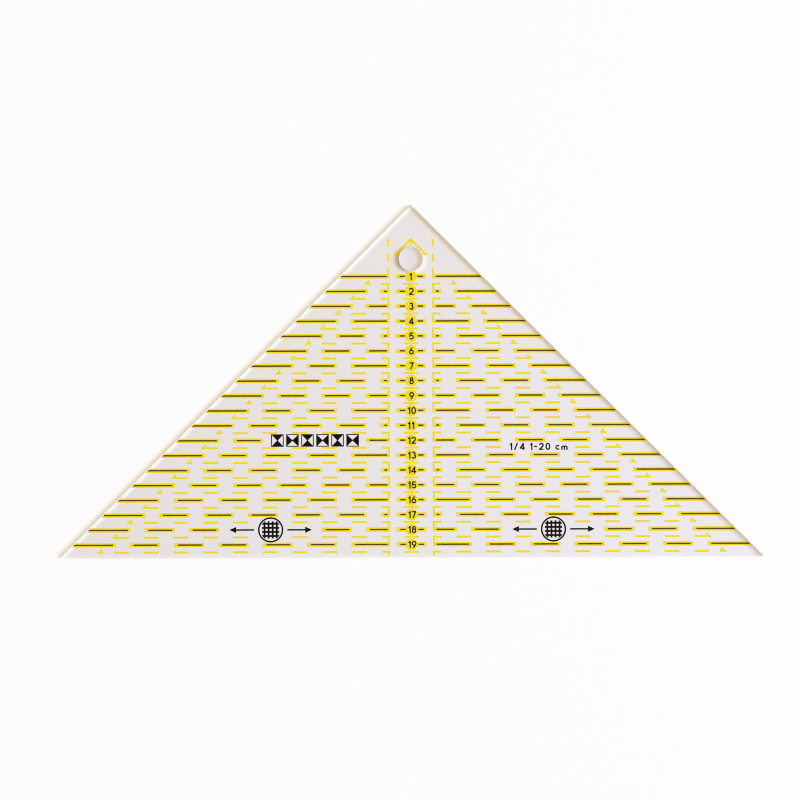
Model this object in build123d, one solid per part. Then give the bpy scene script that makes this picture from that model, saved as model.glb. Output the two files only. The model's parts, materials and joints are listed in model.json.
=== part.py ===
"""Quarter-square quilting ruler: a clear acrylic triangle with an ink scale on its underside.

Frame: +Z up, millimetres. The ruler lies flat on its printed side. The origin is the centre of
the footprint's bounding box on the plane it rests on. +X runs along the long edge and +Y points
to the right-angled corner (the tip). The marks read correctly from above, through the sheet.

Rows are numbered by finished size in centimetres: row n is the cutting line for a patch whose
long side finishes n centimetres wide.
"""

from build123d import *
import math
import os

# ---- Driving dimensions (millimetres) ----
SEAM = 7.5  # seam allowance on every side
LARGEST_SIZE = 200.0  # long side of the largest finished patch
SHEET_THICKNESS = 3.0
CORNER_RADIUS = 0.3
EDGE_BREAK = 0.2  # chamfer that takes the sharpness off every edge
HOLE_RADIUS = 4.0

ROW_PITCH = 5.0  # a patch 10 mm wider is 5 mm taller
ROW_COUNT = 19
PRINT_DROP = 0.8  # the printed scale sits this far below its ideal place on the sheet
PRINT_MARGIN = 0.3  # bare strip between the marks and every cut edge, and round the hole

BLACK_FILM = 0.015  # printed first, straight onto the sheet
YELLOW_FILM = 0.03  # printed second, over and around the black
BLACK_SHIFT = 0.15  # sideways registration error of the black screen

BAR_WIDTH = 1.5  # yellow bar on a whole-size row
CORE_WIDTH = 0.5  # black line along the middle of a bar
CORE_INSET = 1.05  # from a bar's end to its black line
DASH_WIDTH = 0.72  # yellow dash on a half-size row
BAR_STEP, BAR_OFFSET = 4.96, 0.28  # bars start and end on whole steps from the centre line
BAR_STEPS, GAP_STEPS = 2, 1
INK_SPREAD = 0.1  # how far a bar's free end runs past its step
DASH_LENGTH, DASH_PERIOD = 5.0, 10.0
LAST_BAR_START = 4.4  # from the finished corner's place to the bar that meets the edge
TICK_RISE = 1.3  # slanting stroke of a finished corner's mark
TICK_STUB = 1.5  # level foot of that mark
SIDE_LINE_X = SEAM
SIDE_LINE_WIDTH = 0.7
FREE_SIDE_DASH = 2.5  # side-line dash that no bar ends on, beside the hole

DISC_RADIUS = 2.05
SCALE_HALF_LENGTH = 5.0
SCALE_CORE_START = 2.12  # a scale bar's black line starts outside its disc
HALF_TICK_HALF_LENGTH = 2.5

NUMERAL_HEIGHT = 2.4
NUMERAL_STROKE = 0.44
NUMERAL_DROP = 0.05  # numerals sit this far below the middle of their disc
NUMERAL_PITCH = 1.3  # between the two digits of 10 to 19
LOWER_BOWL, UPPER_BOWL = 0.28, 0.22  # radii of a digit's round strokes, as shares of its height

GRAIN_X, GRAIN_ROW = 47.5, 18
GRAIN_OVERLAP = 1.0  # a bar or dash that reaches the symbol by no more than this stays
GRAIN_RING_OUTER, GRAIN_RING_INNER = 4.25, 3.72
WEAVE_STRANDS, WEAVE_PITCH, WEAVE_STRAND = 4, 1.37, 0.66
WEAVE_REACH, WEAVE_CORNER = 2.9, 3.5  # strands' half-length, and the circle that trims the corners
ARROW_START, ARROW_TIP, ARROW_SHAFT = 5.6, 13.85, 0.52
ARROW_HEAD_LENGTH, ARROW_HEAD_HALF = 2.25, 1.05

EMBLEM_X, EMBLEM_ROW = -32.5, 12
BLOCK_SIDE, BLOCK_GAP, BLOCK_COUNT = 4.2, 0.85, 6
BLOCK_FRAME, BLOCK_WAIST = 0.3, 0.24
NOTE_X, NOTE_ROW, NOTE_ROOM = 42.6, 12.45, 5.0
NOTE_TEXT = "1/4 1-20 cm"
NOTE_HEIGHT, NOTE_STROKE, NOTE_GAP = 2.4, 0.46, 0.55

# ---- Worked out from them ----
# A cutting triangle is its finished triangle grown by the seam allowance on all three sides.
TIP_TO_ROW_0 = SEAM * (1 + math.sqrt(2))
HEIGHT = LARGEST_SIZE / 2 + TIP_TO_ROW_0
TIP_LOSS = CORNER_RADIUS * (math.sqrt(2) - 1)  # height that rounding takes off the sharp tip
TIP_Y = (HEIGHT + TIP_LOSS) / 2
BASE_Y = TIP_Y - HEIGHT
HOLE_Y = TIP_Y - TIP_TO_ROW_0
FILM = BLACK_FILM + YELLOW_FILM
SHEET_TOP = FILM + SHEET_THICKNESS
SEAM_TIP_ROW = -SEAM / ROW_PITCH  # the two seam lines meet on this row
HOLE_HALF_ROW = -0.5  # the half-size row that crosses the hole
WHOLE_ROWS = range(1, ROW_COUNT + 1)
HALF_ROWS = [n + 0.5 for n in WHOLE_ROWS]
SIDES = (1, -1)


def row_y(row):
    """Height of a row's centre line."""
    return HOLE_Y - PRINT_DROP - ROW_PITCH * row


def seam_x(row):
    """Distance of the seam line from the ruler's centre line, on a row."""
    return ROW_PITCH * (row - SEAM_TIP_ROW)


def edge_x(row):
    """Distance of the slanting cut edge from the centre line, on a row."""
    return TIP_Y - row_y(row)


# ---- Flat shapes that the films are cut from ----
def box2(x0, x1, y0, y1):
    """Rectangle between two corners."""
    return Pos((x0 + x1) / 2, (y0 + y1) / 2) * Rectangle(abs(x1 - x0), abs(y1 - y0))


def bar2(x0, x1, row, width):
    """Rectangle of a given width, centred on a row."""
    return box2(x0, x1, row_y(row) - width / 2, row_y(row) + width / 2)


def polygon2(*points):
    """Closed shape through corner points."""
    return make_face(Polyline(*points, close=True))


def both_sides(shapes):
    """The shapes and their mirror images across the ruler's centre line."""
    return shapes + [mirror(shape, about=Plane.YZ) for shape in shapes]


def joined(shapes):
    """One sketch from many flat shapes, merged where they touch."""
    faces = [face for shape in shapes for face in shape.faces()]
    return Sketch() + faces


def triangle2(margin):
    """The sheet's outline, moved in by a margin on every side."""
    tip = TIP_Y - margin * math.sqrt(2)
    base = BASE_Y + margin
    return polygon2((-(tip - base), base), (tip - base, base), (0, tip))


def printable():
    """Area that can take ink: the outline and the hole, each with its margin."""
    return triangle2(PRINT_MARGIN) - Pos(0, HOLE_Y) * Circle(HOLE_RADIUS + PRINT_MARGIN)


# ---- Rows: where bars and dashes start and end, on the +X side ----
def is_under_grain_symbol(row, x0, x1):
    """True where the grain symbol and its arrows take a bar's or a dash's place."""
    arrow_room = ARROW_TIP if row == GRAIN_ROW else 0
    room = max(GRAIN_RING_INNER, arrow_room) - GRAIN_OVERLAP
    return abs(row - GRAIN_ROW) < 1 and x0 < GRAIN_X + room and x1 > GRAIN_X - room


def is_under_emblem(row, x0, x1, side):
    """True where the row of patchwork blocks takes a bar's place."""
    half = BLOCK_COUNT * (BLOCK_SIDE + BLOCK_GAP) / 2
    middle = side * EMBLEM_X
    return row == EMBLEM_ROW and x0 < middle + half and x1 > middle - half


def is_under_note(row, x0, x1, side):
    """True where the size note takes a dash's place."""
    is_near = abs(row - NOTE_ROW) < 0.5 and side * NOTE_X > 0
    return is_near and x0 < NOTE_X + NOTE_ROOM and x1 > NOTE_X - NOTE_ROOM


def step_x(step):
    """Place of a step along the whole-size rows, where bars start and end."""
    return BAR_OFFSET + BAR_STEP * step


def bar_spans(row, side):
    """Start and end of each yellow bar on a whole-size row, from the side line to the edge.

    Bars and gaps repeat along a row, and the pattern moves out by one step on each next row.
    The first row is too short for a whole bar, so one bar runs from the side line to the edge.
    """
    spans = []
    start = SIDE_LINE_X - SIDE_LINE_WIDTH / 2
    period = BAR_STEPS + GAP_STEPS
    last_step = BAR_STEPS + (row - BAR_STEPS) % period
    while last_step <= row:
        spans.append((start, step_x(last_step) + INK_SPREAD))
        start = step_x(last_step + GAP_STEPS) - INK_SPREAD
        last_step += period
    if spans:
        start = ROW_PITCH * row + LAST_BAR_START
    spans.append((start, edge_x(row) + BAR_WIDTH))
    return [
        (a, b)
        for a, b in spans
        if not is_under_grain_symbol(row, a, b) and not is_under_emblem(row, a, b, side)
    ]


def dash_spans(row, side):
    """Start and end of each yellow dash on a half-size row, out to the seam line."""
    spans = [(SIDE_LINE_X - SIDE_LINE_WIDTH / 2, DASH_PERIOD)]
    start = DASH_PERIOD + DASH_LENGTH
    while start + DASH_LENGTH <= seam_x(row):
        spans.append((start, start + DASH_LENGTH))
        start += DASH_PERIOD
    return [
        (a, b)
        for a, b in spans
        if not is_under_grain_symbol(row, a, b) and not is_under_note(row, a, b, side)
    ]


def placed_spans(spans_of, rows):
    """(row, left x, right x) for every bar or dash on both sides."""
    for row in rows:
        for side in SIDES:
            for a, b in spans_of(row, side):
                yield row, min(side * a, side * b), max(side * a, side * b)


# ---- Yellow marks ----
def rule_bars2():
    """Bars of the whole-size rows on both sides."""
    return [bar2(a, b, row, BAR_WIDTH) for row, a, b in placed_spans(bar_spans, WHOLE_ROWS)]


def half_size_dashes2():
    """Dashes of the half-size rows on both sides."""
    return [bar2(a, b, row, DASH_WIDTH) for row, a, b in placed_spans(dash_spans, HALF_ROWS)]


def seam_tick2(row):
    """Corner of a finished patch: a short slanting stroke on the seam line, with a level foot."""
    low = row_y(row) - DASH_WIDTH / 2
    lean = DASH_WIDTH / math.sqrt(2)  # half the slanting stroke's width, measured level
    foot = seam_x(row) + lean + DASH_WIDTH / 2
    rise = TICK_RISE + DASH_WIDTH / 2
    slant = polygon2(
        (foot, low),
        (foot - rise, low + rise),
        (foot - rise - lean, low + rise - lean),
        (foot - 2 * lean, low),
    )
    level = box2(seam_x(row) - TICK_STUB, foot - DASH_WIDTH, low, low + DASH_WIDTH)
    return joined([slant, level])


def side_lines2():
    """Dashed line one seam allowance from the centre: each dash drops from a half row."""
    half = SIDE_LINE_WIDTH / 2
    x0, x1 = SIDE_LINE_X - half, SIDE_LINE_X + half
    free = [
        box2(x0, x1, row_y(row) - FREE_SIDE_DASH, row_y(row))
        for row in (SEAM_TIP_ROW, HOLE_HALF_ROW)
    ]
    tied = [
        box2(x0, x1, row_y(n) - BAR_WIDTH / 2, row_y(n - 0.5) + DASH_WIDTH / 2)
        for n in range(1, ROW_COUNT + 2)
    ]
    return both_sides(free + tied)


def scale_bars2():
    """Centre-line bar and numeral disc of every whole-size row."""
    shapes = []
    for n in WHOLE_ROWS:
        shapes.append(bar2(-SCALE_HALF_LENGTH, SCALE_HALF_LENGTH, n, BAR_WIDTH))
        shapes.append(Pos(0, row_y(n)) * Circle(DISC_RADIUS))
    return shapes


def scale_half_ticks2():
    """Centre-line tick of every half-size row."""
    half = HALF_TICK_HALF_LENGTH
    return [bar2(-half, half, row, DASH_WIDTH) for row in HALF_ROWS]


def tip_mark2():
    """Corner of the finished patch round the hole, with a tick on the centre line."""
    peak = row_y(SEAM_TIP_ROW)
    low = row_y(HOLE_HALF_ROW) - DASH_WIDTH / 2
    lean = DASH_WIDTH / math.sqrt(2)
    outer, inner = peak + lean, peak - lean
    arm = polygon2((0, outer), (outer - low, low), (inner - low, low), (0, inner))
    foot = box2(seam_x(HOLE_HALF_ROW) - TICK_STUB, inner - low, low, low + DASH_WIDTH)
    tick = box2(-DASH_WIDTH / 2, DASH_WIDTH / 2, peak - SEAM, peak)
    return both_sides([arm, foot]) + [tick]


# ---- Black marks ----
def rule_cores2():
    """Line along each bar. One that meets the cut edge runs out with its bar."""
    cores = []
    for row, a, b in placed_spans(bar_spans, WHOLE_ROWS):
        start = a if a < -edge_x(row) else a + CORE_INSET
        end = b if b > edge_x(row) else b - CORE_INSET
        cores.append(bar2(start, end, row, CORE_WIDTH))
    return cores


def scale_cores2():
    """Line on each arm of the centre-line bars, between disc and end."""
    end = SCALE_HALF_LENGTH - CORE_INSET
    cores = [bar2(SCALE_CORE_START, end, n, CORE_WIDTH) for n in WHOLE_ROWS]
    return both_sides(cores)


def ring2(rx, ry, width):
    """Closed oval stroke: half-sizes to the middle of the stroke."""
    half = width / 2
    return Ellipse(rx + half, ry + half) - Ellipse(rx - half, ry - half)


def line2(width, *points):
    """Stroke of constant width through points, with square corners."""
    return trace(Polyline(*points), width)


def arc2(width, radius, start, sweep, centre=(0, 0)):
    """Stroke of constant width along part of a circle, angles in degrees."""
    return trace(CenterArc(centre, radius, start, sweep), width)


def glyph(sign, height, stroke):
    """Flat shapes of one plain geometric sign, standing on y = 0 with its middle at x = 0."""
    low, top = stroke / 2, height - stroke / 2  # centre lines of level strokes
    u = top - low
    big, small = LOWER_BOWL * u, UPPER_BOWL * u
    wide = (LOWER_BOWL + 0.03) * u  # a sign with only one bowl has a wider one
    waist = low + 2 * big
    if sign == "0":
        return [Pos(0, height / 2) * ring2(wide, u / 2, stroke)]
    if sign == "1":
        stem = box2(-stroke / 2, stroke / 2, 0, height)
        return [stem, line2(stroke, (0, top), (-0.26 * u, top - 0.26 * u))]
    if sign == "2":
        bend_angle = -30
        bend = (wide * math.cos(math.radians(bend_angle)), top - 1.5 * wide)
        return [
            arc2(stroke, wide, bend_angle, 200, (0, top - wide)),
            line2(stroke, bend, (-wide, low)),
            box2(-0.4 * u, 0.36 * u, 0, stroke),
        ]
    if sign == "3":
        upper = arc2(stroke, small, -90, 245, (0, top - small))
        lower = arc2(stroke, big, -160, 250, (0, low + big))
        return [upper, lower]
    if sign == "4":
        stem_x, bar_y = 0.15 * u, 0.33 * u
        return [
            box2(stem_x - stroke / 2, stem_x + stroke / 2, 0, height),
            line2(stroke, (stem_x, top), (-0.36 * u, bar_y)),
            box2(-0.44 * u, 0.44 * u, bar_y - stroke / 2, bar_y + stroke / 2),
        ]
    if sign == "5":
        shoulder = (-0.22 * u, top)
        return [
            box2(shoulder[0], 0.32 * u, height - stroke, height),
            line2(stroke, shoulder, (-0.3 * u, low + wide)),
            arc2(stroke, wide, -150, 270, (0, low + wide)),
        ]
    if sign == "6":
        stem = line2(stroke, (-0.85 * wide, low + 1.5 * wide), (0.1 * u, height))
        return [Pos(0, low + wide) * ring2(wide, wide, stroke), stem]
    if sign == "7":
        bar = box2(-0.37 * u, 0.37 * u, height - stroke, height)
        return [bar, line2(stroke, (0.27 * u, top), (-0.17 * u, 0))]
    if sign == "8":
        upper = Pos(0, waist + small) * ring2(small, small, stroke)
        return [upper, Pos(0, low + big) * ring2(big, big, stroke)]
    if sign == "9":
        stem = line2(stroke, (0.85 * wide, top - 1.5 * wide), (-0.1 * u, 0))
        return [Pos(0, top - wide) * ring2(wide, wide, stroke), stem]
    if sign == "/":
        return [line2(stroke, (-0.25 * u, 0), (0.25 * u, height))]
    if sign == "-":
        return [box2(-0.27 * u, 0.27 * u, (height - stroke) / 2, (height + stroke) / 2)]
    if sign == "c":
        return [arc2(stroke, wide, 45, 270, (0, low + wide))]
    if sign == "m":
        arch, half = 0.22 * u, stroke / 2
        stems = [box2(x - half, x + half, 0, low + wide) for x in (-2 * arch, 0, 2 * arch)]
        arches = [arc2(stroke, arch, 0, 180, (x, low + wide)) for x in (-arch, arch)]
        return stems + arches
    raise ValueError(f"no shape for {sign!r}")


def numerals2():
    """1 to 19 on the centre-line discs."""
    marks = []
    for n in WHOLE_ROWS:
        digits = str(n)
        for i, digit in enumerate(digits):
            x = (i - (len(digits) - 1) / 2) * NUMERAL_PITCH
            place = Pos(x, row_y(n) - NUMERAL_HEIGHT / 2 - NUMERAL_DROP)
            marks.append(place * joined(glyph(digit, NUMERAL_HEIGHT, NUMERAL_STROKE)))
    return marks


def weave_symbols2():
    """Ring round a patch of woven cloth, once on each side: lay this along the fabric's grain."""
    middle = (WEAVE_STRANDS - 1) / 2
    offsets = [(i - middle) * WEAVE_PITCH for i in range(WEAVE_STRANDS)]
    reach = WEAVE_REACH
    strands = [box2(-reach, reach, d - WEAVE_STRAND / 2, d + WEAVE_STRAND / 2) for d in offsets]
    strands += [box2(d - WEAVE_STRAND / 2, d + WEAVE_STRAND / 2, -reach, reach) for d in offsets]
    weave = joined(strands) & Circle(WEAVE_CORNER)
    ring = Circle(GRAIN_RING_OUTER) - Circle(GRAIN_RING_INNER)
    symbol = joined([weave, ring])
    return [Pos(side * GRAIN_X, row_y(GRAIN_ROW)) * symbol for side in SIDES]


def grain_arrows2():
    """Arrows that point along the grain, out from each woven-cloth symbol."""
    neck = ARROW_TIP - ARROW_HEAD_LENGTH
    shaft = box2(ARROW_START, neck, -ARROW_SHAFT / 2, ARROW_SHAFT / 2)
    head = polygon2((neck, -ARROW_HEAD_HALF), (ARROW_TIP, 0), (neck, ARROW_HEAD_HALF))
    pair = both_sides([joined([shaft, head])])
    return [
        Pos(side * GRAIN_X, row_y(GRAIN_ROW)) * arrow for side in SIDES for arrow in pair
    ]


def block_emblem2():
    """Row of quarter-square patchwork blocks, each split by its diagonals, two quarters filled."""
    half = BLOCK_SIDE / 2
    pitch = BLOCK_SIDE + BLOCK_GAP
    waist = BLOCK_WAIST / 2
    quarter = polygon2((-waist, 0), (-half, -half), (half, -half), (waist, 0))
    frame = Rectangle(BLOCK_SIDE, BLOCK_SIDE) - Rectangle(
        BLOCK_SIDE - 2 * BLOCK_FRAME, BLOCK_SIDE - 2 * BLOCK_FRAME
    )
    blocks = []
    for i in range(BLOCK_COUNT):
        turn = 90 * (i % 2)
        filled = [Rot(0, 0, turn) * quarter, Rot(0, 0, turn + 180) * quarter]
        x = EMBLEM_X + (i - (BLOCK_COUNT - 1) / 2) * pitch
        blocks.append(Pos(x, row_y(EMBLEM_ROW)) * joined(filled + [frame]))
    return blocks


def size_note2():
    """Kind of triangle and its range of sizes, in the same plain signs as the scale."""
    marks, x = [], 0.0
    for sign in NOTE_TEXT:
        if sign == " ":
            x += 2 * NOTE_GAP
            continue
        mark = joined(glyph(sign, NOTE_HEIGHT, NOTE_STROKE))
        box = mark.bounding_box()
        marks.append(Pos(x - box.min.X, 0) * mark)
        x += box.size.X + NOTE_GAP
    left = NOTE_X - (x - NOTE_GAP) / 2
    return [Pos(left, row_y(NOTE_ROW) - NOTE_HEIGHT / 2) * mark for mark in marks]


# ---- Solids ----
def film(shapes, low, high):
    """Ink film: flat shapes cut to the printable area and given a thickness."""
    outline = joined(shapes) & printable()
    return extrude(Pos(0, 0, low) * outline, high - low)


def black_film(shapes):
    """First film, straight onto the sheet, with the black screen's registration error."""
    moved = [Pos(BLACK_SHIFT, 0) * shape for shape in shapes]
    return film(moved, YELLOW_FILM, FILM)


def yellow_film(shapes, over=None, beside=None):
    """Second film. It covers black marks it is printed over and stops at yellow beside it."""
    flat = joined(shapes)
    if beside:
        flat = flat - joined(beside)
    solid = film([flat], 0, FILM)
    return solid - over if over else solid


def acrylic_sheet():
    """Clear triangle with the hang hole, every edge lightly broken."""
    outline = triangle2(0)
    outline = fillet(outline.vertices(), CORNER_RADIUS)
    outline -= Pos(0, HOLE_Y) * Circle(HOLE_RADIUS)
    sheet = extrude(Pos(0, 0, FILM) * outline, SHEET_THICKNESS)
    rims = sheet.edges().filter_by(Plane.XY)
    return chamfer(rims, EDGE_BREAK)


def build():
    """Every named piece of the ruler."""
    rule_cores = black_film(rule_cores2())
    scale_cores = black_film(scale_cores2())
    numerals = black_film(numerals2())
    bars, dashes = rule_bars2(), half_size_dashes2()
    seam_ticks = both_sides([seam_tick2(row) for row in HALF_ROWS])
    return {
        "acrylic_sheet": acrylic_sheet(),
        "rule_bars_yellow": yellow_film(bars, over=rule_cores),
        "rule_cores_black": rule_cores,
        "half_size_dashes_yellow": yellow_film(dashes, beside=seam_ticks),
        "seam_ticks_yellow": yellow_film(seam_ticks),
        "side_lines_yellow": yellow_film(side_lines2(), beside=bars + dashes),
        "scale_bars_yellow": yellow_film(scale_bars2(), over=scale_cores + numerals),
        "scale_cores_black": scale_cores,
        "scale_half_ticks_yellow": yellow_film(scale_half_ticks2()),
        "numerals_black": numerals,
        "tip_mark_yellow": yellow_film(tip_mark2()),
        "weave_symbols_black": black_film(weave_symbols2()),
        "grain_arrows_black": black_film(grain_arrows2()),
        "block_emblem_black": black_film(block_emblem2()),
        "size_note_black": black_film(size_note2()),
    }


os.makedirs("parts", exist_ok=True)
for name, shape in build().items():
    export_step(shape, f"parts/{name}.step")
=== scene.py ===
"""Looks of the quarter-square quilting ruler: clear acrylic, yellow and black screen print.

The printed films keep their CAD shapes and get ink materials. The acrylic sheet gets a finer
shape with a round hole and softly broken edges. The light that its cut edges turn onto the card
below is drawn in the card's own shading. Metres, same frame as the CAD.
"""
import json
import math

import bmesh
import bpy
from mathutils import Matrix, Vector


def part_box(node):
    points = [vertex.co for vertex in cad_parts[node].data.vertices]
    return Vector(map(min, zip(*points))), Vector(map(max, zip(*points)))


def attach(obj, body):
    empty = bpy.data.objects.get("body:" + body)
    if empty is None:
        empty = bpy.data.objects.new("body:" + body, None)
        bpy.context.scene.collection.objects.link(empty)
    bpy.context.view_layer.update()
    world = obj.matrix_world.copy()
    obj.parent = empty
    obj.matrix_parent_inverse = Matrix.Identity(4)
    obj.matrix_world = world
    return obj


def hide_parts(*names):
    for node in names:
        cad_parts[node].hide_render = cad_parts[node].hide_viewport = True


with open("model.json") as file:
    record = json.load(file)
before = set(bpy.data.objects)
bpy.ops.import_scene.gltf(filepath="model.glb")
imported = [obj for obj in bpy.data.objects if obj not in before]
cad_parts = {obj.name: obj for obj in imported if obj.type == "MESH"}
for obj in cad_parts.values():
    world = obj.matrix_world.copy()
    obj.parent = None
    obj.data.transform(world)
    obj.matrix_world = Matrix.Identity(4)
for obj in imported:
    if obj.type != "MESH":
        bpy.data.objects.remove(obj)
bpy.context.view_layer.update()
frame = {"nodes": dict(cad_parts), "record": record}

MM = 0.001
WHITE = (1.0, 1.0, 1.0)
DIAGONAL = math.sqrt(0.5)  # the slanting edges run at 45 degrees
NOISE_RANGE = (0.3, 0.7)  # most values of a noise texture lie in here

# ---- Shape of the acrylic sheet ----
CORNER_RADIUS = 0.3 * MM
EDGE_BREAK = 0.02 * MM
BREAK_STEPS = 3  # rings that round each broken edge
CORNER_STEPS = 6  # segments per 45 degrees of a corner
HOLE_STEPS = 96
INK_GAP = 0.005 * MM  # keeps the sheet's underside clear of the ink that touches it

# ---- Acrylic material (texture scales are in cycles per metre) ----
IOR = 1.49
GLASS_TINT = (0.995, 0.995, 0.99, 1.0)
PASS_ONE_FACE = 0.995  # light that passes one face of the sheet
EDGE_LEAK = 0.1  # light from the side that still gets out through a cut edge
EDGE_GRAZING = (0.13, 0.28)  # cosines between which a cut edge goes from passing to stopping light
TRAPPED_BOUNCES = 3  # after these a ray is taken as trapped in the sheet and sees its haze
HAZE = (0.72, 0.72, 0.70, 1.0)
MACHINING_LINES = (9000.0, 9000.0, 250.0)  # fine along the cut edge, long up it
EDGE_ROUGH_SCALE, EDGE_ROUGH = 900.0, (0.02, 0.07)
EDGE_BUMP, EDGE_BUMP_STRENGTH = 0.004 * MM, 0.5
FACE_WAVE_SCALE = 60.0
HAIRLINES = (  # stretch, direction, and noise values where a scratch starts and is full
    ((9000.0, 70.0, 70.0), 0.6, (0.74, 0.80)),
    ((8000.0, 60.0, 60.0), 2.2, (0.75, 0.81)),
)
HAIRLINE_ROUGH, HAIRLINE_HEIGHT = 0.12, -0.03
FACE_BUMP, FACE_BUMP_STRENGTH = 0.01 * MM, 0.35

# ---- Inks ----
INKS = {  # colour, deeper colour, roughness
    "yellow_ink": ((0.79, 0.652, 0.018), (0.73, 0.588, 0.015), 0.42),
    "black_ink": ((0.003, 0.0012, 0.0006), (0.0015, 0.0008, 0.0004), 0.38),
    "black_ink_on_yellow": ((0.10, 0.045, 0.004), (0.05, 0.024, 0.002), 0.38),
    "dense_ink_on_yellow": ((0.013, 0.003, 0.001), (0.009, 0.002, 0.001), 0.38),
}
INK_ON_YELLOW = {
    "rule_cores_black": "black_ink_on_yellow",
    "scale_cores_black": "black_ink_on_yellow",
    "numerals_black": "dense_ink_on_yellow",
}
INK_MOTTLE_SCALE, INK_MOTTLE = 900.0, (0.35, 0.7)  # noise values of plain and deepest ink
INK_CLOUD_SCALE, INK_CLOUD = 45.0, (0.35, 1.0)  # how much of the mottle shows, place by place
INK_ROUGH_RANGE = 0.08
INK_SPECULAR = 0.08
SCREEN_SCALE, SCREEN_TURN = 1250.0, 0.4  # the printing screen's weave and its direction
INK_BUMP, INK_BUMP_STRENGTH = 0.004 * MM, 0.5

# ---- Card that the ruler lies on, with painted light and shade ----
# The shades and strengths here are matched to the photo by its brightness, not computed.
FLOOR_RADIUS, FLOOR_FADE = 2.2, (0.5, 1.8)  # the card fades out between these distances
FLOOR_STEPS = 96
FLOOR_GAP = 0.03 * MM
FLOOR_ALBEDO, FLOOR_ALBEDO_RANGE, FIBRE_SCALE = 0.80, 0.004, 1400.0
SHADED_CARD = (0.764, 0.729, 0.729)  # painted shade of the card under the sheet
LEFT_SHADE = 0.937  # the painted shade gets a little deeper towards the left
PAINTED_COOL_LIGHT = (0.99, 1.012, 1.105)  # painted cool window light under the sheet's right corner
# painted warm light towards the left and the tip
PAINTED_WARM_LIGHT = (0.988, 0.984, 0.985)
COOL_FROM, COOL_TO = 0.5, 1.5  # painted light, warm to cool over x - y from -0.5 to 1.5 half-widths
BASE_FADE = (-1.1 * MM, 1.0 * MM)  # where the shading starts and is full, inwards from the base
SIDE_FADE = (-0.9 * MM, 0.1 * MM)
BASE_GLOW, BASE_GLOW_WIDTH = 1.05, 1.2 * MM  # painted light in a band along the base
BASE_GLOW_END = -0.5 * MM  # the glow ends this far outside the slanting edges
TURNED_BACK = (0.21, 0.275, 0.32)  # painted light that a cut edge throws onto the card, next to its own
STRIP_STRETCH = 1.45  # strip's width over the light's sideways travel in one crossing
STRIP_BLUR = 0.5 * MM
HOLE_SHADE = (0.872, 0.95)  # painted shade in the hang hole: light left on the card, middle and sides
HOLE_RIM = 0.3 * MM  # width over which the hole's shading ends
HOLE_BRIGHT, HOLE_BRIGHT_TURN = 0.66, math.radians(-25)  # painted lit crescent beside the hole
HOLE_DARK, HOLE_DARK_TURN = (0.24, 0.31, 0.42), math.radians(14)  # painted dark crescent across from it
HOLE_DARK_REACH = 0.7  # of the lit crescent's reach
RIGHT_DARK, RIGHT_DARK_WIDTH = (0.15, 0.23, 0.5), 0.2 * MM  # painted brown shade line along the right edge

# ---- Lights and camera ----
TOTAL_LIGHT = 1.262  # makes the floor almost white
KEY_SHARE = (0.27, 0.385, 0.60)  # cool window light from the right
AMBIENT_SHARE = 0.06
KEY_TILT = math.radians(29)
KEY_TURN = math.radians(1)
KEY_DISTANCE, KEY_RADIUS = 8.0, 2.1
TOP_DISTANCE, TOP_RADIUS = 4.0, 0.48
BACKDROP_RISE, BACKDROP = (0.35, 0.9), (0.96, 0.03)  # bright round the horizon, dark overhead
CAMERA_HEIGHT = 0.9
VIEW_WIDTH = 0.2690
VIEW_SHIFT = (-0.00376, -0.00631)
VIEW_ROLL = math.radians(-0.196)
VIEW_CLIP = (0.01, 20.0)
SENSOR = 36.0
PIXEL_FILTER = 1.0  # pixels
BRIGHTEST_BOUNCE = 4.0  # indirect light is held below this, against bright specks


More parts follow.
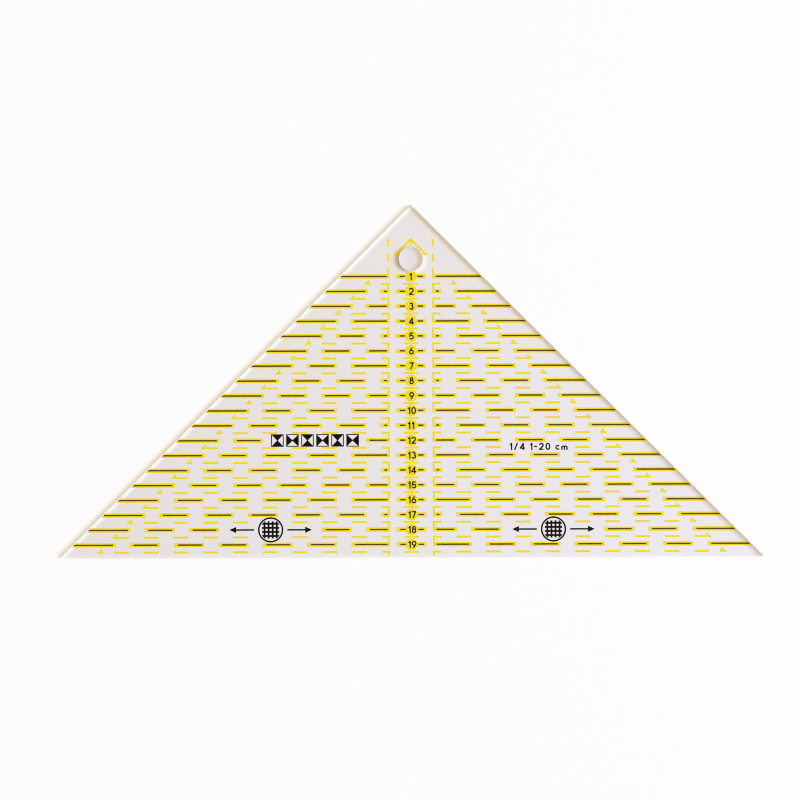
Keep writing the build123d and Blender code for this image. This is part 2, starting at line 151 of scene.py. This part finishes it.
# ---- Node helpers ----
class Nodes:
    """Short names for making and joining shader nodes."""

    def __init__(self, tree):
        self.tree = tree
        tree.nodes.clear()

    def add(self, kind, **settings):
        node = self.tree.nodes.new(kind)
        for key, value in settings.items():
            setattr(node, key, value)
        return node

    def link(self, source, node, name):
        """Feed an input from another node's output, or set it to a plain value."""
        target = node.inputs[name]
        if isinstance(source, (int, float, tuple)):
            target.default_value = source
        else:
            self.tree.links.new(source, target)

    def math(self, operation, a, b=0.0):
        node = self.add("ShaderNodeMath", operation=operation)
        self.link(a, node, 0)
        self.link(b, node, 1)
        return node.outputs[0]

    def vector(self, operation, a, b=None):
        node = self.add("ShaderNodeVectorMath", operation=operation)
        self.link(a, node, 0)
        if operation == "SCALE":
            self.link(b, node, "Scale")
        elif b is not None:
            self.link(b, node, 1)
        return node.outputs["Value" if operation in ("LENGTH", "DOT_PRODUCT") else "Vector"]

    def noise(self, place, scale, detail=2.0, rough=0.5):
        node = self.add("ShaderNodeTexNoise")
        self.link(place, node, "Vector")
        self.link(float(scale), node, "Scale")
        self.link(float(detail), node, "Detail")
        self.link(float(rough), node, "Roughness")
        return node.outputs["Fac"]

    def stretch(self, place, scale=(1.0, 1.0, 1.0), turn=0.0):
        node = self.add("ShaderNodeMapping")
        self.link(place, node, "Vector")
        node.inputs["Scale"].default_value = scale
        node.inputs["Rotation"].default_value = (0.0, 0.0, turn)
        return node.outputs["Vector"]

    def ramp(self, value, low, high, to_low=0.0, to_high=1.0):
        """Map the value from low..high to to_low..to_high, level outside."""
        node = self.add("ShaderNodeMapRange")
        node.clamp = True
        for key, item in (("Value", value), ("From Min", low), ("From Max", high),
                          ("To Min", to_low), ("To Max", to_high)):
            self.link(item, node, key)
        return node.outputs["Result"]

    def strip(self, travel, distance):
        """1 within the travel from an edge, 0 beyond it and outside, with a blurred end."""
        reach = self.ramp(self.math("SUBTRACT", travel, distance), -STRIP_BLUR, STRIP_BLUR)
        return self.math("MULTIPLY", reach, self.math("GREATER_THAN", distance, 0.0))

    def mix_color(self, factor, a, b):
        node = self.add("ShaderNodeMix", data_type="RGBA")
        self.link(factor, node, 0)
        self.link((*a, 1.0)[:4] if isinstance(a, tuple) else a, node, 6)
        self.link((*b, 1.0)[:4] if isinstance(b, tuple) else b, node, 7)
        return node.outputs[2]

    def mix_shader(self, factor, a, b):
        node = self.add("ShaderNodeMixShader")
        self.link(factor, node, 0)
        self.tree.links.new(a, node.inputs[1])
        self.tree.links.new(b, node.inputs[2])
        return node.outputs[0]

    def bump(self, height, distance, strength):
        node = self.add("ShaderNodeBump")
        self.link(height, node, "Height")
        self.link(distance, node, "Distance")
        self.link(strength, node, "Strength")
        return node.outputs["Normal"]

    def output(self, surface):
        node = self.add("ShaderNodeOutputMaterial")
        self.tree.links.new(surface, node.inputs["Surface"])


def new_material(name):
    material = bpy.data.materials.new(name)
    material.use_nodes = True
    return material, Nodes(material.node_tree)


# ---- Materials ----
def face_finish(n, place):
    """Roughness and normal of a polished face: slight waves and hairline scratches."""
    wave = n.noise(place, FACE_WAVE_SCALE)
    first, second = [n.ramp(n.noise(n.stretch(place, scale, turn), 1.0), *limits)
                     for scale, turn, limits in HAIRLINES]
    hairs = n.math("ADD", first, second)
    rough = n.ramp(hairs, 0.0, 1.0, 0.0, HAIRLINE_ROUGH)
    height = n.math("ADD", wave, n.math("MULTIPLY", hairs, HAIRLINE_HEIGHT))
    return rough, n.bump(height, FACE_BUMP, FACE_BUMP_STRENGTH)


def edge_finish(n, place):
    """Roughness and normal of a cut edge: machining lines."""
    lines = n.noise(n.stretch(place, MACHINING_LINES), 1.0, detail=3.0, rough=0.6)
    rough = n.ramp(n.noise(place, EDGE_ROUGH_SCALE), *NOISE_RANGE, *EDGE_ROUGH)
    return rough, n.bump(lines, EDGE_BUMP, EDGE_BUMP_STRENGTH)


def acrylic(name, is_edge):
    """Clear acrylic: real refraction for what the eye follows, a thin sheet for plain light."""
    material, n = new_material(name)
    place = n.add("ShaderNodeTexCoord").outputs["Object"]
    path = n.add("ShaderNodeLightPath").outputs
    rough, normal = (edge_finish if is_edge else face_finish)(n, place)
    glass = n.add("ShaderNodeBsdfGlass")
    n.link(GLASS_TINT, glass, "Color")
    n.link(rough, glass, "Roughness")
    n.link(IOR, glass, "IOR")
    n.link(normal, glass, "Normal")
    passing = n.add("ShaderNodeBsdfTransparent")
    n.link((PASS_ONE_FACE,) * 3 + (1.0,), passing, "Color")
    thin = passing.outputs[0]
    if is_edge:
        # Light that meets a cut edge from the side is turned back into the sheet, and only
        # light that grazes the edge goes by.
        look = n.add("ShaderNodeNewGeometry").outputs
        across = n.math("ABSOLUTE", n.vector("DOT_PRODUCT", look["Incoming"], look["True Normal"]))
        dark = n.add("ShaderNodeBsdfTransparent")
        n.link(n.ramp(across, *EDGE_GRAZING, 1.0, EDGE_LEAK), dark, "Color")
        thin = n.mix_shader(path["Is Shadow Ray"], passing.outputs[0], dark.outputs[0])
    is_diffuse = n.math("GREATER_THAN", path["Diffuse Depth"], 0.5)
    plain_light = n.math("MAXIMUM", path["Is Shadow Ray"], is_diffuse)
    haze = n.add("ShaderNodeBsdfDiffuse")
    n.link(HAZE, haze, "Color")
    trapped = n.math("GREATER_THAN", path["Ray Depth"], TRAPPED_BOUNCES + 0.5)
    seen = n.mix_shader(trapped, glass.outputs[0], haze.outputs[0])
    n.output(n.mix_shader(plain_light, seen, thin))
    return material


def ink(name, base, deep, rough):
    """Screen-printed ink: mottled film with the faint weave of the printing screen in it."""
    material, n = new_material(name)
    place = n.add("ShaderNodeTexCoord").outputs["Object"]
    mottle = n.noise(place, INK_MOTTLE_SCALE, detail=3.0, rough=0.55)
    cloud = n.ramp(n.noise(place, INK_CLOUD_SCALE), *NOISE_RANGE, *INK_CLOUD)
    depth = n.math("MULTIPLY", n.ramp(mottle, *INK_MOTTLE), cloud)
    uneven = n.ramp(mottle, *NOISE_RANGE, rough - INK_ROUGH_RANGE, rough + INK_ROUGH_RANGE)
    shader = n.add("ShaderNodeBsdfPrincipled")
    n.link(n.mix_color(depth, base, deep), shader, "Base Color")
    n.link(uneven, shader, "Roughness")
    n.link(INK_SPECULAR, shader, "Specular IOR Level")
    threads = []
    for turn in (SCREEN_TURN, SCREEN_TURN + math.pi / 2):
        wave = n.add("ShaderNodeTexWave", wave_type="BANDS", bands_direction="X")
        n.link(n.stretch(place, turn=turn), wave, "Vector")
        n.link(SCREEN_SCALE, wave, "Scale")
        threads.append(wave.outputs["Fac"])
    height = n.math("ADD", n.math("MULTIPLY", *threads), mottle)
    n.link(n.bump(height, INK_BUMP, INK_BUMP_STRENGTH), shader, "Normal")
    n.output(shader.outputs[0])
    return material


def ink_the_films():
    """Give every printed film its ink."""
    inks = {name: ink(name, *look) for name, look in INKS.items()}
    for name, piece in frame["nodes"].items():
        if name == "acrylic_sheet":
            continue
        plain = "yellow_ink" if name.endswith("_yellow") else "black_ink"
        piece.data.materials.clear()
        piece.data.materials.append(inks[INK_ON_YELLOW.get(name, plain)])


# ---- Acrylic sheet ----
def hang_hole():
    """Centre and radius of the hang hole."""
    mount = next(m for m in frame["record"]["mounts"] if m["name"] == "hang_hole")
    return Vector(mount["pos_m"]), mount["dims"]["r_mm"] * MM


def outline_ring(low_y, tip_y, inset):
    """Sheet outline moved in by an inset, anticlockwise from the middle of the long edge."""
    radius = CORNER_RADIUS - inset
    side_x = tip_y - low_y - CORNER_RADIUS * (1 + math.sqrt(2))
    corners = (  # centre, start angle and sweep of each rounded corner
        (side_x, low_y + CORNER_RADIUS, -90, 135),
        (0.0, tip_y - CORNER_RADIUS * math.sqrt(2), 45, 90),
        (-side_x, low_y + CORNER_RADIUS, 135, 135),
    )
    points = [(0.0, low_y + inset)]
    for x, y, start, sweep in corners:
        steps = CORNER_STEPS * sweep // 45
        for i in range(steps + 1):
            a = math.radians(start + sweep * i / steps)
            points.append((x + radius * math.cos(a), y + radius * math.sin(a)))
    return points


def hole_ring(centre, radius):
    """Circle, anticlockwise from its lowest point."""
    angles = [2 * math.pi * i / HOLE_STEPS - math.pi / 2 for i in range(HOLE_STEPS)]
    return [(centre.x + radius * math.cos(a), centre.y + radius * math.sin(a)) for a in angles]


def edge_profile(low_z, high_z):
    """Height and inset of each ring from the top face down to the underside."""
    steps = [math.pi / 2 * i / BREAK_STEPS for i in range(BREAK_STEPS + 1)]
    upper = [(high_z - EDGE_BREAK * (1 - math.cos(a)), EDGE_BREAK * (1 - math.sin(a)))
             for a in steps]
    lower = [(low_z + high_z - z, inset) for z, inset in reversed(upper)]
    return upper + lower


def wall(mesh_data, rings, outward):
    """Faces between one ring of points and the next."""
    for above, below in zip(rings, rings[1:]):
        for i in range(len(above)):
            j = (i + 1) % len(above)
            corners = (above[j], above[i], below[i], below[j])
            face = mesh_data.faces.new(corners if outward else corners[::-1])
            face.material_index = 1
            face.smooth = True


def flat_face(mesh_data, outline, hole, up):
    """Top face or underside, in a right and a left half that meet at the hole."""
    tip = 1 + CORNER_STEPS * 3 + 1 + CORNER_STEPS  # index of the outline's point at the tip
    top = HOLE_STEPS // 2  # index of the hole's highest point
    right = outline[: tip + 1] + hole[top::-1]
    left = outline[tip:] + outline[:1] + hole[:1] + hole[:top - 1:-1]
    for loop in (right, left):
        face = mesh_data.faces.new(loop if up else loop[::-1])
        face.smooth = True


def clear_sheet():
    low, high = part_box("acrylic_sheet")
    centre, hole_radius = hang_hole()
    tip_y = high.y + CORNER_RADIUS * (math.sqrt(2) - 1)  # of the tip before it is rounded
    mesh_data = bmesh.new()
    outer, inner = [], []
    for z, inset in edge_profile(low.z + INK_GAP, high.z):
        around = outline_ring(low.y, tip_y, inset)
        inside = hole_ring(centre, hole_radius + inset)
        outer.append([mesh_data.verts.new((x, y, z)) for x, y in around])
        inner.append([mesh_data.verts.new((x, y, z)) for x, y in inside])
    wall(mesh_data, outer, True)
    wall(mesh_data, inner, False)
    flat_face(mesh_data, outer[0], inner[0], True)
    flat_face(mesh_data, outer[-1], inner[-1], False)
    mesh = bpy.data.meshes.new("clear_sheet")
    mesh_data.to_mesh(mesh)
    mesh_data.free()
    mesh.materials.append(acrylic("clear_acrylic_face", False))
    mesh.materials.append(acrylic("clear_acrylic_edge", True))
    piece = bpy.data.objects.new("clear_sheet", mesh)
    bpy.context.collection.objects.link(piece)
    weighted = piece.modifiers.new("flat_faces", "WEIGHTED_NORMAL")
    weighted.weight = 100
    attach(piece, "root")
    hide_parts("acrylic_sheet")


# ---- Studio ----
def card_color(n, place):
    """Card colour: pale, painted shade under the sheet, painted light from the cut edges."""
    low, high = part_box("acrylic_sheet")
    axes = n.add("ShaderNodeSeparateXYZ")
    n.link(place, axes, 0)
    x, y = axes.outputs["X"], axes.outputs["Y"]
    from_base = n.math("SUBTRACT", y, low.y)
    from_side = n.math("SUBTRACT", high.y, n.math("ADD", y, n.math("ABSOLUTE", x)))
    from_side = n.math("MULTIPLY", from_side, DIAGONAL)
    inside = n.math("MULTIPLY", n.ramp(from_base, *BASE_FADE), n.ramp(from_side, *SIDE_FADE))

    # Brightness: painted shade in the hang hole, painted light along the base.
    centre, hole_radius = hang_hole()
    to_hole = n.vector("SUBTRACT", place, (centre.x, centre.y, 0.0))
    from_hole = n.math("SUBTRACT", n.vector("LENGTH", to_hole), hole_radius)
    sideways = n.math("ABSOLUTE", n.vector("DOT_PRODUCT", to_hole, (1.0, 0.0, 0.0)))
    hole_tone = n.ramp(sideways, 0.0, hole_radius, *HOLE_SHADE)
    tone = n.ramp(from_hole, 0.0, HOLE_RIM, hole_tone, 1.0)
    # Painted light along the base.
    glow = n.ramp(n.math("ABSOLUTE", from_base), 0.0, BASE_GLOW_WIDTH, BASE_GLOW, 1.0)
    glow = n.ramp(from_side, BASE_GLOW_END, 0.0, 1.0, glow)
    tone = n.math("MULTIPLY", tone, glow)

    # Window light that a cut edge turns back is painted in a strip beside that edge. The strip's
    # width is the light's sideways travel in one crossing of the sheet, times the matched stretch.
    refracted = math.asin(math.sin(KEY_TILT) / IOR)
    travel = (high.z - low.z) * math.tan(refracted) * STRIP_STRETCH
    to_left = travel * (math.cos(KEY_TURN) - math.sin(KEY_TURN)) * DIAGONAL
    from_left = n.math("SUBTRACT", high.y, n.math("SUBTRACT", y, x))
    from_left = n.math("MULTIPLY", from_left, DIAGONAL)
    # Painted lit crescent beside the hang hole, painted dark crescent across from it.
    outwards = n.vector("NORMALIZE", to_hole)
    towards = (travel * math.cos(HOLE_BRIGHT_TURN), travel * math.sin(HOLE_BRIGHT_TURN), 0.0)
    lit = n.strip(n.vector("DOT_PRODUCT", outwards, towards), from_hole)
    reach = -travel * HOLE_DARK_REACH
    away = (reach * math.cos(HOLE_DARK_TURN), reach * math.sin(HOLE_DARK_TURN), 0.0)
    unlit = n.strip(n.vector("DOT_PRODUCT", outwards, away), from_hole)
    strip = n.math("ADD", n.strip(to_left, from_left), n.math("MULTIPLY", lit, HOLE_BRIGHT))
    strip = n.math("MULTIPLY", strip, inside)
    # Painted shade line along the right edge.
    from_right = n.math("SUBTRACT", high.y, n.math("ADD", y, x))
    from_right = n.math("MULTIPLY", from_right, DIAGONAL)
    line = n.strip(RIGHT_DARK_WIDTH, from_right)

    fibre = n.noise(place, FIBRE_SCALE, detail=3.0)
    albedo = (FLOOR_ALBEDO - FLOOR_ALBEDO_RANGE, FLOOR_ALBEDO + FLOOR_ALBEDO_RANGE)
    grey = n.ramp(fibre, *NOISE_RANGE, *albedo)
    # Painted shade under the sheet, a little deeper at the left.
    left_card = tuple(LEFT_SHADE * c for c in SHADED_CARD)
    shade = n.mix_color(n.ramp(x, low.x, high.x), left_card, SHADED_CARD)
    # Painted light under the sheet, warm to cool towards the right-hand corner.
    cool = n.ramp(n.math("SUBTRACT", x, y), COOL_FROM * low.x, COOL_TO * high.x)
    shade = n.vector("MULTIPLY", shade, n.mix_color(cool, PAINTED_WARM_LIGHT, PAINTED_COOL_LIGHT))
    color = n.vector("SCALE", n.mix_color(inside, grey, shade), tone)
    # Add the painted light of the strips.
    added = tuple(1 + t for t in TURNED_BACK)
    color = n.vector("MULTIPLY", color, n.mix_color(strip, WHITE, added))
    # Painted shade of the dark crescent and of the line along the right edge.
    for part, loss in ((unlit, HOLE_DARK), (line, RIGHT_DARK)):
        left_over = tuple(1 - d for d in loss)
        part = n.math("MULTIPLY", part, inside)
        color = n.vector("MULTIPLY", color, n.mix_color(part, WHITE, left_over))
    return color


def floor():
    bpy.ops.mesh.primitive_circle_add(vertices=FLOOR_STEPS, radius=FLOOR_RADIUS,
                                      fill_type="NGON", location=(0, 0, -FLOOR_GAP))
    disc = bpy.context.object
    disc.name = "floor"
    material, n = new_material("floor_card")
    place = n.add("ShaderNodeTexCoord").outputs["Object"]
    card = n.add("ShaderNodeBsdfDiffuse")
    n.link(card_color(n, place), card, "Color")
    gone = n.add("ShaderNodeBsdfTransparent")
    fade = n.ramp(n.vector("LENGTH", place), *FLOOR_FADE)
    n.output(n.mix_shader(fade, card.outputs[0], gone.outputs[0]))
    disc.data.materials.append(material)


def soft_light(name, share, distance, radius, tilt, turn, seen_in_gloss):
    """Round soft light that gives the floor a share of its brightness."""
    data = bpy.data.lights.new(name, "AREA")
    data.shape = "DISK"
    data.size = 2 * radius
    peak = max(share)
    data.color = [s / peak for s in share]
    # Power P from this distance gives a white floor the radiance P cos(tilt) / (pi distance)^2.
    data.energy = peak * TOTAL_LIGHT * math.pi**2 * distance**2 / math.cos(tilt)
    light = bpy.data.objects.new(name, data)
    bpy.context.collection.objects.link(light)
    sideways = math.sin(tilt)
    towards = Vector((sideways * math.cos(turn), sideways * math.sin(turn), math.cos(tilt)))
    light.location = towards * distance
    light.rotation_euler = towards.to_track_quat("Z", "Y").to_euler()
    light.visible_camera = False
    light.visible_glossy = seen_in_gloss
    light.visible_transmission = seen_in_gloss


def surroundings():
    """Even ambient light. Camera, mirror and refraction rays see a backdrop instead."""
    world = bpy.data.worlds.new("studio")
    bpy.context.scene.world = world
    world.use_nodes = True
    n = Nodes(world.node_tree)
    path = n.add("ShaderNodeLightPath").outputs
    ray = n.add("ShaderNodeTexCoord").outputs["Generated"]
    split = n.add("ShaderNodeSeparateXYZ")
    n.link(ray, split, 0)
    backdrop = n.ramp(split.outputs["Z"], *BACKDROP_RISE, *BACKDROP)
    mirrored = n.math("MAXIMUM", path["Is Glossy Ray"], path["Is Transmission Ray"])
    seen = n.math("MAXIMUM", path["Is Camera Ray"], mirrored)
    ambient = AMBIENT_SHARE * TOTAL_LIGHT
    unseen = n.math("SUBTRACT", 1.0, seen)
    strength = n.math("ADD", n.math("MULTIPLY", seen, backdrop),
                      n.math("MULTIPLY", unseen, ambient))
    background = n.add("ShaderNodeBackground")
    n.link((*WHITE, 1.0), background, "Color")
    n.link(strength, background, "Strength")
    out = n.add("ShaderNodeOutputWorld")
    n.tree.links.new(background.outputs[0], out.inputs["Surface"])


def studio():
    floor()
    top_share = [1 - k - AMBIENT_SHARE for k in KEY_SHARE]
    soft_light("window", KEY_SHARE, KEY_DISTANCE, KEY_RADIUS, KEY_TILT, KEY_TURN, True)
    soft_light("overhead", top_share, TOP_DISTANCE, TOP_RADIUS, 0.0, 0.0, False)
    surroundings()


def camera():
    """Straight above the ruler, looking down."""
    data = bpy.data.cameras.new("camera")
    data.sensor_width = SENSOR
    data.lens = SENSOR * CAMERA_HEIGHT / VIEW_WIDTH
    data.clip_start, data.clip_end = VIEW_CLIP
    cam = bpy.data.objects.new("camera", data)
    bpy.context.collection.objects.link(cam)
    cam.location = (*VIEW_SHIFT, CAMERA_HEIGHT)
    cam.rotation_euler = (0.0, 0.0, VIEW_ROLL)
    bpy.context.scene.camera = cam


def picture_settings():
    bpy.context.scene.view_settings.view_transform = "Standard"
    cycles = bpy.context.scene.cycles
    cycles.use_denoising = True
    cycles.blur_glossy = 0.0
    cycles.sample_clamp_indirect = BRIGHTEST_BOUNCE
    cycles.filter_width = PIXEL_FILTER


ink_the_films()
clear_sheet()
studio()
camera()
picture_settings()
